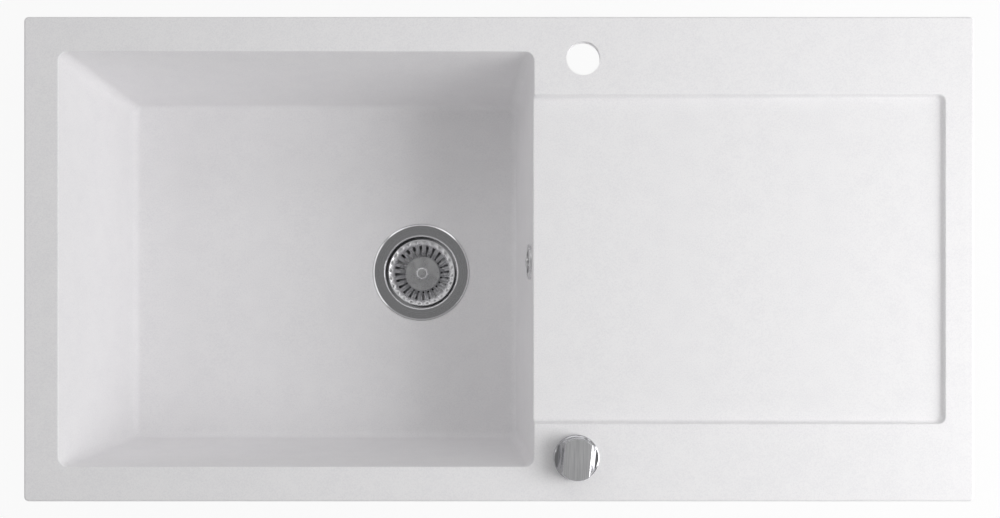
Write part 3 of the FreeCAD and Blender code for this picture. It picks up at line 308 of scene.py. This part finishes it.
# stainless steel, deep-drawn and polished: bright edges, dark hollows, slight smears
bowlSteel = {
    "colours": ("#DADADC", "#EAEAEB"),
    "colourStops": (0.35, 0.65),
    "roughness": (0.21, 0.36),
    "smearSize": 9 * mm,
}


def drawnSteel():
    material, tree, shader = newMaterial("stainless steel, polished")
    shader.inputs["Metallic"].default_value = 1
    place = addNode(tree, "ShaderNodeTexCoord").outputs["Object"]
    smear = addNode(tree, "ShaderNodeTexNoise",
                    {"Vector": place, "Scale": 1 / bowlSteel["smearSize"], "Detail": 4})
    tint = addNode(tree, "ShaderNodeValToRGB", {0: smear.outputs[0]})
    setStops(tint, bowlSteel["colourStops"], bowlSteel["colours"])
    tree.links.new(tint.outputs[0], shader.inputs["Base Color"])
    smooth, rough = bowlSteel["roughness"]
    gloss = addNode(tree, "ShaderNodeMapRange", {0: smear.outputs[0], 3: smooth, 4: rough})
    tree.links.new(gloss.outputs[0], shader.inputs["Roughness"])
    return material


# zinc casting, chrome plated: brushed pale on top with fine lines along the bar, polished sides with a darker
# colour painted on as a painted dark reflection
gripPlating = {
    "brushed": ("#DADADC", "#F4F4F5"),
    "brushedStops": (0.3, 0.65),
    # painted dark reflection: the darker grey that the polished flanks and ledge take in place of the brushed
    # tint
    "polished": "#BDBDC0",
    "roughness": (0.12, 0.34),    # polished sides, brushed top
    "lineWidth": 0.9 * mm,
    "lineSqueeze": 0.03,          # a line's width over its length
    "turn": -6.0,                 # of the bar, degrees
    "topDepth": 3 * mm,
    "topFacing": (0.9, 0.99),     # how far up a face looks, from polished to brushed
    "bump": 0.12,
    "bumpHeight": 0.03 * mm,
}


def brushedPlate():
    material, tree, shader = newMaterial("chrome plate, brushed top")
    shader.inputs["Metallic"].default_value = 1
    place = addNode(tree, "ShaderNodeTexCoord").outputs["Object"]
    squeeze = gripPlating["lineSqueeze"]
    moved = addNode(tree, "ShaderNodeVectorMath", {0: place, 1: (-knobAxis.x, -knobAxis.y, 0)},
                    operation="ADD")
    turned = addNode(tree, "ShaderNodeMapping", {"Vector": moved.outputs[0], "Scale": (1, squeeze, squeeze),
                                                 "Rotation": (0, 0, math.radians(-gripPlating["turn"]))})
    lines = addNode(tree, "ShaderNodeTexNoise",
                    {"Vector": turned.outputs[0], "Scale": 1 / gripPlating["lineWidth"], "Detail": 3})
    tint = addNode(tree, "ShaderNodeValToRGB", {0: lines.outputs[0]})
    setStops(tint, gripPlating["brushedStops"], gripPlating["brushed"])
    # only the top is brushed satin, the flanks and the ledge below are polished, and their darker colour is a
    # painted dark reflection
    height = addNode(tree, "ShaderNodeSeparateXYZ", {0: place}).outputs["Z"]
    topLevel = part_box("knob_grip")[1].z - gripPlating["topDepth"]
    above = addNode(tree, "ShaderNodeMath", {0: height, 1: topLevel}, operation="GREATER_THAN")
    normal = addNode(tree, "ShaderNodeNewGeometry").outputs["Normal"]
    facing = addNode(tree, "ShaderNodeSeparateXYZ", {0: normal}).outputs["Z"]
    leaning, level = gripPlating["topFacing"]
    upward = addNode(tree, "ShaderNodeMapRange", {0: facing, 1: leaning, 2: level})
    top = addNode(tree, "ShaderNodeMath", {0: above.outputs[0], 1: upward.outputs[0]}, operation="MULTIPLY")
    # painted dark reflection: off the top the colour turns to the darker polished grey
    colour = addNode(tree, "ShaderNodeMix", {0: top.outputs[0], 6: linear(gripPlating["polished"]),
                                             7: tint.outputs[0]}, data_type="RGBA")
    tree.links.new(colour.outputs[2], shader.inputs["Base Color"])
    smooth, rough = gripPlating["roughness"]
    gloss = addNode(tree, "ShaderNodeMapRange", {0: top.outputs[0], 3: smooth, 4: rough})
    tree.links.new(gloss.outputs[0], shader.inputs["Roughness"])
    bump = addNode(tree, "ShaderNodeBump", {"Height": lines.outputs[0], "Strength": gripPlating["bump"],
                                            "Distance": gripPlating["bumpHeight"]})
    tree.links.new(bump.outputs[0], shader.inputs["Normal"])
    return material


# plastics and rubbers, moulded: plain colour with a fine spark-eroded skin
mouldSkin = {
    "colourStops": (0.3, 0.7),
    "patchSize": 30 * mm,
    "grainSize": 0.8 * mm,
    "foamGrainSize": 1.5 * mm,
    "roughnessSwing": 0.08,
    "bump": 0.3,
    "bumpHeight": 0.04 * mm,
}


def mouldedPlastic(name, colours, roughness, grainSize=mouldSkin["grainSize"]):
    material, tree, shader = newMaterial(name)
    place = addNode(tree, "ShaderNodeTexCoord").outputs["Object"]
    patches = addNode(tree, "ShaderNodeTexNoise",
                      {"Vector": place, "Scale": 1 / mouldSkin["patchSize"], "Detail": 3})
    tint = addNode(tree, "ShaderNodeValToRGB", {0: patches.outputs[0]})
    setStops(tint, mouldSkin["colourStops"], colours)
    tree.links.new(tint.outputs[0], shader.inputs["Base Color"])
    grain = addNode(tree, "ShaderNodeTexNoise", {"Vector": place, "Scale": 1 / grainSize, "Detail": 1})
    swing = mouldSkin["roughnessSwing"]
    gloss = addNode(tree, "ShaderNodeMapRange",
                    {0: grain.outputs[0], 3: roughness - swing, 4: roughness + swing})
    tree.links.new(gloss.outputs[0], shader.inputs["Roughness"])
    bump = addNode(tree, "ShaderNodeBump", {"Height": grain.outputs[0], "Strength": mouldSkin["bump"],
                                            "Distance": mouldSkin["bumpHeight"]})
    tree.links.new(bump.outputs[0], shader.inputs["Normal"])
    return material


composite = quartzComposite()
flangeSteel = lathedSteel()
basketSteel = drawnSteel()
gripPlate = brushedPlate()
palePipe = mouldedPlastic("polypropylene, light grey", ("#DEDEDA", "#E9E9E6"), 0.42)
blackNylon = mouldedPlastic("glass-filled nylon, black", ("#141416", "#1B1B1D"), 0.5)
acetal = mouldedPlastic("acetal, natural", ("#E3E2DA", "#EEEDE6"), 0.35)
blackRubber = mouldedPlastic("EPDM rubber, black", ("#0F0F0F", "#161616"), 0.7)
foamRubber = mouldedPlastic("foam rubber, dark grey", ("#2C2C2E", "#3A3A3C"), 0.85,
                            mouldSkin["foamGrainSize"])

finishes = {
    "sink_basin": composite,
    "strainer_flange": flangeSteel, "strainer_basket": basketSteel, "basket_button": basketSteel,
    "flange_screws": basketSteel, "overflow_rosette": basketSteel, "overflow_screw": basketSteel,
    "cover_ring": gripPlate, "knob_grip": gripPlate, "grub_screw": basketSteel, "lift_pin": basketSteel,
    "box_screws": basketSteel, "pipe_bands": basketSteel,
    "waste_body": palePipe, "overflow_head": palePipe, "overflow_pipe": palePipe,
    "waste_cable_gland": blackNylon, "knob_cable_gland": blackNylon, "drive_box": blackNylon,
    "box_cover": blackNylon, "basket_plug": blackNylon, "knob_housing": blackNylon,
    "deck_washer": blackNylon, "back_nut": blackNylon,
    "cable_slider": acetal, "knob_spindle": acetal,
    "rim_seal": foamRubber,
    "flange_gasket": blackRubber, "body_gasket": blackRubber, "overflow_gasket": blackRubber,
    "plug_seal": blackRubber, "pin_seal": blackRubber, "ring_seal": blackRubber, "spindle_seal": blackRubber,
}
for name, material in finishes.items():
    dress(name, material)
print("materials set on", len(finishes), "nodes")


# rounded faces shade smooth, and edges sharper than the angle stay crisp
shading = {
    "smoothAngle": 38,
    "crispAngle": 16,
    "crispNodes": ("strainer_flange",),    # pieces with a shallow bevel
    "faceWeight": 90,
    "weldDistance": 0.01 * mm,
}


def smoothShading(angle):
    group = bpy.data.node_groups.new("smooth by angle", "GeometryNodeTree")
    for way in ("INPUT", "OUTPUT"):
        group.interface.new_socket("Geometry", in_out=way, socket_type="NodeSocketGeometry")
    start = addNode(group, "NodeGroupInput")
    faces = addNode(group, "GeometryNodeSetShadeSmooth", {"Geometry": start.outputs[0], "Shade Smooth": True},
                    domain="FACE")
    bend = addNode(group, "GeometryNodeInputMeshEdgeAngle")
    sharp = addNode(group, "FunctionNodeCompare", {0: bend.outputs["Unsigned Angle"], 1: math.radians(angle)},
                    operation="GREATER_THAN")
    edges = addNode(group, "GeometryNodeSetShadeSmooth", {"Geometry": faces.outputs[0], "Shade Smooth": False,
                                                          "Selection": sharp.outputs[0]}, domain="EDGE")
    addNode(group, "NodeGroupOutput", {0: edges.outputs[0]})
    return group


smoothGroup = smoothShading(shading["smoothAngle"])
crispGroup = smoothShading(shading["crispAngle"])


def shadeSmooth(piece, group=smoothGroup):
    smooth = piece.modifiers.new("smooth", "NODES")
    smooth.node_group = group
    even = piece.modifiers.new("even", "WEIGHTED_NORMAL")
    even.keep_sharp = True
    even.weight = shading["faceWeight"]


def newPiece(name, shape, material):
    mesh = bpy.data.meshes.new(name)
    shape.to_mesh(mesh)
    shape.free()
    mesh.materials.append(material)
    piece = bpy.data.objects.new(name, mesh)
    scene.collection.objects.link(piece)
    return piece


for name, node in nodes.items():
    weld = node.modifiers.new("weld", "WELD")    # the node's triangles are loose
    weld.merge_threshold = shading["weldDistance"]
    shadeSmooth(node, crispGroup if name in shading["crispNodes"] else smoothGroup)
print("shading smoothed")


# pressed strainer basket: beaded rim, rounded shoulder, fluted wall with a slot in each flute, flat floor
basket = {
    "stem": 4.0 * mm,
    "floor": 20.6 * mm,
    "wallFoot": 21.6 * mm,
    "wallHead": 32.9 * mm,
    "wallDrop": 5.6 * mm,         # where the rounded shoulder turns into the wall
    "bead": 39.4 * mm,
    "beadFoot": 38.3 * mm,
    "beadHeight": 0.5 * mm,
    "rim": 40.3 * mm,
    "rimInset": 0.2 * mm,         # rounds the way from the bead to the skirt
    "rimDrop": 0.4 * mm,
    "skirt": 3.0 * mm,
    "sheet": 0.9 * mm,
    "flutes": 24,
    "stepsPerFlute": 8,
    "slotSteps": 3,
    "wallRings": 6,
    "shoulderRings": 6,
    "fluteDepth": 1.3 * mm,       # deepest towards the shoulder
    "fluteBias": 1.6,
    "cutEdge": 0.3 * mm,          # rounding of the sheet's cut edges
    "cutEdgeSteps": 2,
    "cutEdgeAngle": 50,
}


def basketProfile(depth):
    # half section from the stem to the skirt, heights below the rim's bead
    foot = (basket["wallFoot"], basket["sheet"] - depth)
    head = (basket["wallHead"], -basket["wallDrop"])
    wall = [tuple(a + (b - a) * ring / basket["wallRings"] for a, b in zip(foot, head))
            for ring in range(basket["wallRings"] + 1)]
    flat = (basket["beadFoot"], -basket["beadHeight"])
    shoulder = []
    for ring in range(1, basket["shoulderRings"] + 1):
        turn = math.pi / 2 * ring / basket["shoulderRings"]
        shoulder.append((head[0] + (flat[0] - head[0]) * (1 - math.cos(turn)),
                         head[1] + (flat[1] - head[1]) * math.sin(turn)))
    rolled = [(basket["bead"], 0), (basket["rim"] - basket["rimInset"], -basket["rimDrop"]),
              (basket["rim"], -basket["sheet"]), (basket["rim"], -basket["skirt"])]
    floor = [(basket["stem"], -depth), (basket["floor"] - basket["sheet"], -depth), (basket["floor"], -depth)]
    return floor + wall + shoulder + rolled


def pressedBasket():
    low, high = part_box("strainer_basket")
    profile = basketProfile(high.z - low.z - basket["sheet"])
    shape = bmesh.new()
    line = [shape.verts.new((radius, 0, height)) for radius, height in profile]
    edges = [shape.edges.new(pair) for pair in zip(line, line[1:])]
    steps = basket["flutes"] * basket["stepsPerFlute"]
    bmesh.ops.spin(shape, geom=line + edges, cent=(0, 0, 0), axis=(0, 0, 1), angle=fullTurn, steps=steps,
                   use_merge=True)
    bmesh.ops.recalc_face_normals(shape, faces=shape.faces)

    def stepAt(point):
        return math.atan2(point.y, point.x) % fullTurn / fullTurn * steps

    slotFaces = []
    for face in shape.faces:
        middle = face.calc_center_median()
        inSlot = int(stepAt(middle)) % basket["stepsPerFlute"] < basket["slotSteps"]
        if inSlot and basket["wallFoot"] < middle.xy.length < basket["wallHead"]:
            slotFaces.append(face)
    bmesh.ops.delete(shape, geom=slotFaces, context="FACES")
    for vert in shape.verts:
        along = (vert.co.xy.length - basket["wallFoot"]) / (basket["beadFoot"] - basket["wallFoot"])
        if 0 < along < 1:
            turn = (stepAt(vert.co) - basket["slotSteps"] / 2) / basket["stepsPerFlute"]
            swell = math.sin(math.pi * along ** basket["fluteBias"])
            vert.co.z -= basket["fluteDepth"] * swell * math.cos(fullTurn * turn)
    bmesh.ops.translate(shape, verts=shape.verts, vec=(drainAxis.x, drainAxis.y, high.z))

    piece = newPiece("pressed_basket", shape, basketSteel)
    solid = piece.modifiers.new("sheet", "SOLIDIFY")
    solid.thickness = basket["sheet"]
    solid.offset = -1
    edge = piece.modifiers.new("edge", "BEVEL")
    edge.width = basket["cutEdge"]
    edge.segments = basket["cutEdgeSteps"]
    edge.limit_method = "ANGLE"
    edge.angle_limit = math.radians(basket["cutEdgeAngle"])
    shadeSmooth(piece)
    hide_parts("strainer_basket")
    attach(piece, "basket")
    print("basket pressed,", len(slotFaces), "slot faces cut")


# screws with a cross recess, in place of the plain solids
screwKinds = {
    "flange_screws": {"head": 4.5 * mm, "headHeight": 2.8 * mm, "shank": 2.5 * mm, "length": 18 * mm,
                      "arm": 2.7 * mm, "armWidth": 1.1 * mm, "recess": 1.6 * mm, "dome": 0.7 * mm},
    "box_screws": {"head": 2.0 * mm, "headHeight": 1.5 * mm, "shank": 1.2 * mm, "length": 8 * mm,
                   "arm": 1.3 * mm, "armWidth": 0.5 * mm, "recess": 0.9 * mm, "dome": 0.4 * mm},
    "overflow_screw": {"head": 5.8 * mm, "headHeight": 2.2 * mm, "shank": 2.0 * mm, "length": 26 * mm,
                       "arm": 3.0 * mm, "armWidth": 1.2 * mm, "recess": 1.2 * mm, "dome": 0.8 * mm},
}
screwMake = {
    "sides": 48,
    "recessTaper": 0.7,                 # recess floor over recess mouth
    "shoulder": 0.3,                    # share of the dome's height above its bend
    "flangeAngles": (-90, 30, 150),     # round the drain, degrees
    "wallLean": math.atan(15 / 200),    # bowl wall, 15 mm in over 200 mm of depth
}


def screwPlaces(name):
    # middle of each head's face, and the way out of the head
    low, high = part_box(name)
    head = screwKinds[name]["head"]
    if name == "flange_screws":
        circle = drainAxis.y - low.y - head
        for angle in screwMake["flangeAngles"]:
            turn = math.radians(angle)
            x = drainAxis.x + circle * math.cos(turn)
            y = drainAxis.y + circle * math.sin(turn)
            yield Vector((x, y, high.z)), Vector((0, 0, 1))
    elif name == "box_screws":
        for x in (low.x + head, high.x - head):
            for y in (low.y + head, high.y - head):
                yield Vector((x, y, low.z)), Vector((0, 0, -1))
    else:
        across, up = math.cos(screwMake["wallLean"]), math.sin(screwMake["wallLean"])
        face = Vector((low.x + head * up, (low.y + high.y) / 2, high.z - head * across))
        yield face, Vector((-across, 0, up))


def addScrew(shape, kind, face, out):
    # the head's face lies at height 0, the shank points down
    faceRadius = kind["head"] - kind["dome"]
    rim = bmesh.ops.create_circle(shape, segments=screwMake["sides"], radius=faceRadius)["verts"]
    rimEdges = list({edge for vert in rim for edge in vert.link_edges})
    half, arm = kind["armWidth"] / 2, kind["arm"]
    quarter = [(arm, half), (half, half), (half, arm)]
    cross = []
    for turn in range(4):
        corner = Matrix.Rotation(turn * math.pi / 2, 4, "Z")
        cross += [shape.verts.new(corner @ Vector((x, y, 0))) for x, y in quarter]
    crossEdges = [shape.edges.new((a, b)) for a, b in zip(cross, cross[1:] + cross[:1])]
    bmesh.ops.triangle_fill(shape, use_beauty=True, edges=rimEdges + crossEdges)
    made = rim + cross

    def drop(edges, depth, spread):
        grown = bmesh.ops.extrude_edge_only(shape, edges=edges)["geom"]
        verts = [item for item in grown if isinstance(item, bmesh.types.BMVert)]
        bmesh.ops.scale(shape, verts=verts, vec=(spread, spread, 1))
        bmesh.ops.translate(shape, verts=verts, vec=(0, 0, -depth))
        made.extend(verts)
        return [item for item in grown if isinstance(item, bmesh.types.BMEdge) and
                all(vert in verts for vert in item.verts)]

    deep = drop(crossEdges, kind["recess"], screwMake["recessTaper"])
    bmesh.ops.triangle_fill(shape, use_beauty=True, edges=deep)
    bend = screwMake["shoulder"] * kind["dome"]
    shoulder = drop(rimEdges, bend, (kind["head"] - bend) / faceRadius)
    side = drop(shoulder, kind["dome"] - bend, kind["head"] / (kind["head"] - bend))
    under = drop(side, kind["headHeight"] - kind["dome"], 1)
    neck = drop(under, 0, kind["shank"] / kind["head"])
    tip = drop(neck, kind["length"], 1)
    bmesh.ops.triangle_fill(shape, use_beauty=True, edges=tip)
    turn = out.to_track_quat("Z", "Y").to_matrix().to_4x4()
    bmesh.ops.transform(shape, matrix=Matrix.Translation(face) @ turn, verts=made)


def crossHeadScrews():
    for name, kind in screwKinds.items():
        shape = bmesh.new()
        for face, out in screwPlaces(name):
            addScrew(shape, kind, face, out)
        bmesh.ops.recalc_face_normals(shape, faces=shape.faces)
        piece = newPiece(f"cross_head_{name}", shape, basketSteel)
        shadeSmooth(piece)
        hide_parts(name)
        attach(piece, "sink")
    print("screws cut,", len(screwKinds), "kinds")


# waste body with the outlet's G 1 1/2 thread as rings, 11 to the inch
outlet = {
    "radius": 23.9 * mm,
    "root": 22.5 * mm,
    "pitch": 25.4 / 11 * mm,
    "length": 28 * mm,
    "near": 0.1 * mm,             # what counts as lying on the end face or on the outside
    "cutDistance": 0.001 * mm,
}


def threadedBody():
    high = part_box("waste_body")[1]
    shape = bmesh.new()
    shape.from_mesh(nodes["waste_body"].data)
    bmesh.ops.remove_doubles(shape, verts=shape.verts, dist=shading["weldDistance"])
    # the outlet's axis is the middle of its end face
    tip = [vert.co.z for vert in shape.verts if high.y - vert.co.y < outlet["near"]]
    axisHeight = (min(tip) + max(tip)) / 2
    turns = int(outlet["length"] / outlet["pitch"])
    rings = []
    for ring in range(2 * turns):
        place = Vector((0, high.y - (ring + 1) * outlet["pitch"] / 2, 0))
        whole = shape.verts[:] + shape.edges[:] + shape.faces[:]
        cut = bmesh.ops.bisect_plane(shape, geom=whole, dist=outlet["cutDistance"], plane_co=place,
                                     plane_no=(0, 1, 0))["geom_cut"]
        rings.append([item for item in cut if isinstance(item, bmesh.types.BMVert)])
    for vert in (vert for ring in rings[1::2] for vert in ring):
        across = Vector((vert.co.x - drainAxis.x, 0, vert.co.z - axisHeight))
        if abs(across.length - outlet["radius"]) < outlet["near"]:
            vert.co -= across.normalized() * (outlet["radius"] - outlet["root"])
    piece = newPiece("threaded_waste_body", shape, palePipe)
    shadeSmooth(piece)
    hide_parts("waste_body")
    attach(piece, "sink")
    print("outlet threaded,", turns, "turns")


pressedBasket()
crossHeadScrews()
threadedBody()

scene.view_settings.view_transform = "Standard"
print("scene ready")
